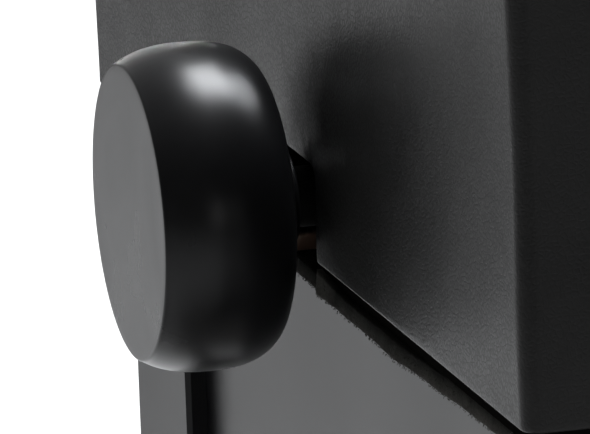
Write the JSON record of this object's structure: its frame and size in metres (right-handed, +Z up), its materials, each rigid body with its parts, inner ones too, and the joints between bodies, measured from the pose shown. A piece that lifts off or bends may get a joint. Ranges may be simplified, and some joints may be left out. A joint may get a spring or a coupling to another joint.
{
  "type": "piano bench",
  "caption": "Rectangular padded bench on square legs whose leatherette seat box rises and falls on a screw-driven scissor lift turned by a round knob at either end.",
  "frame": {"origin": "on the floor under the middle of the bench", "axes": "+X along the bench (its long side), +Y across it from the front to the rear, +Z up; the knob ends are -X and +X"},
  "size_m": [0.628, 0.33, 0.485],
  "materials": {
    "black_lacquer": "black polyester lacquer on wood",
    "leatherette": "black leatherette with a fine pebble grain",
    "felt": "dark grey wool felt",
    "knob_plastic": "satin gloss black moulded plastic",
    "plywood": "raw birch plywood",
    "beech": "raw beech",
    "foam": "cut upholstery foam",
    "black_steel": "black powder coat",
    "zinc_steel": "bright zinc plate",
    "blackened_steel": "oiled black oxide",
    "bronze": "machined bronze",
    "nylon": "natural nylon",
    "glide_plastic": "black polyethylene"
  },
  "bodies": {
    "base": {"leg_left_front": "black_lacquer", "corner_block_left_front": "beech", "hanger_bolt_left_front": "zinc_steel", "hanger_nut_left_front": "zinc_steel", "glide_left_front": "glide_plastic", "leg_left_rear": "black_lacquer", "corner_block_left_rear": "beech", "hanger_bolt_left_rear": "zinc_steel", "hanger_nut_left_rear": "zinc_steel", "glide_left_rear": "glide_plastic", "leg_right_front": "black_lacquer", "corner_block_right_front": "beech", "hanger_bolt_right_front": "zinc_steel", "hanger_nut_right_front": "zinc_steel", "glide_right_front": "glide_plastic", "leg_right_rear": "black_lacquer", "corner_block_right_rear": "beech", "hanger_bolt_right_rear": "zinc_steel", "hanger_nut_right_rear": "zinc_steel", "glide_right_rear": "glide_plastic", "apron_front": "black_lacquer", "apron_rear": "black_lacquer", "apron_left": "black_lacquer", "apron_right": "black_lacquer", "felt_strip_front": "felt", "felt_strip_rear": "felt", "felt_strip_left": "felt", "felt_strip_right": "felt", "lower_rail_front": "black_steel", "lower_pivot_pin_front": "zinc_steel", "lower_rail_rear": "black_steel", "lower_pivot_pin_rear": "zinc_steel", "bearing_plate_left": "black_steel", "spindle_bush_left": "nylon", "bearing_plate_right": "black_steel", "spindle_bush_right": "nylon"},
    "outer_arms": {"outer_arm_front": "black_steel", "outer_arm_rear": "black_steel", "centre_shaft": "zinc_steel", "upper_slide_shaft": "zinc_steel"},
    "inner_arms": {"inner_arm_front": "black_steel", "inner_arm_rear": "black_steel"},
    "nut_carriage": {"nut_bar": "black_steel", "spindle_nut": "bronze"},
    "seat": {"seat_board": "plywood", "side_board_front": "plywood", "side_board_rear": "plywood", "side_board_left": "plywood", "side_board_right": "plywood", "upper_rail_front": "black_steel", "upper_rail_rear": "black_steel", "upper_pivot_shaft": "zinc_steel", "foam_cushion": "foam", "cover_top": "leatherette", "cover_skirt": "leatherette"},
    "spindle_set": {"spindle": "blackened_steel", "knob_left": "knob_plastic", "knob_right": "knob_plastic", "knob_grub_screw_left": "blackened_steel", "knob_grub_screw_right": "blackened_steel"}
  },
  "joints": [
    {"name": "lift", "type": "hinge", "parent": "base", "child": "outer_arms", "pos_m": [-0.12802, 0, 0.3805], "axis": [0, -1, 0], "range_deg": [0, 22.6]},
    {"name": "arm_cross", "type": "hinge", "parent": "outer_arms", "child": "inner_arms", "pos_m": [0, 0, 0.40307], "axis": [0, -1, 0], "range_deg": [-45.2, 0]},
    {"name": "nut_level", "type": "hinge", "parent": "inner_arms", "child": "nut_carriage", "pos_m": [0.12802, 0, 0.3805], "axis": [0, -1, 0], "range_deg": [0, 22.6]},
    {"name": "seat_level", "type": "hinge", "parent": "inner_arms", "child": "seat", "pos_m": [-0.12802, 0, 0.42565], "axis": [0, -1, 0], "range_deg": [0, 22.6]},
    {"name": "spindle_turn", "type": "hinge", "parent": "base", "child": "spindle_set", "pos_m": [0, 0, 0.3805], "axis": [-1, 0, 0], "range_deg": [0, 4441]}
  ],
  "couplings": [
    {"joint": "arm_cross", "follows": "lift", "ratio": -2},
    {"joint": "nut_level", "follows": "lift", "ratio": 1},
    {"joint": "seat_level", "follows": "lift", "ratio": 1},
    {"joint": "spindle_turn", "follows": "lift", "ratio": 196.5}
  ]
}
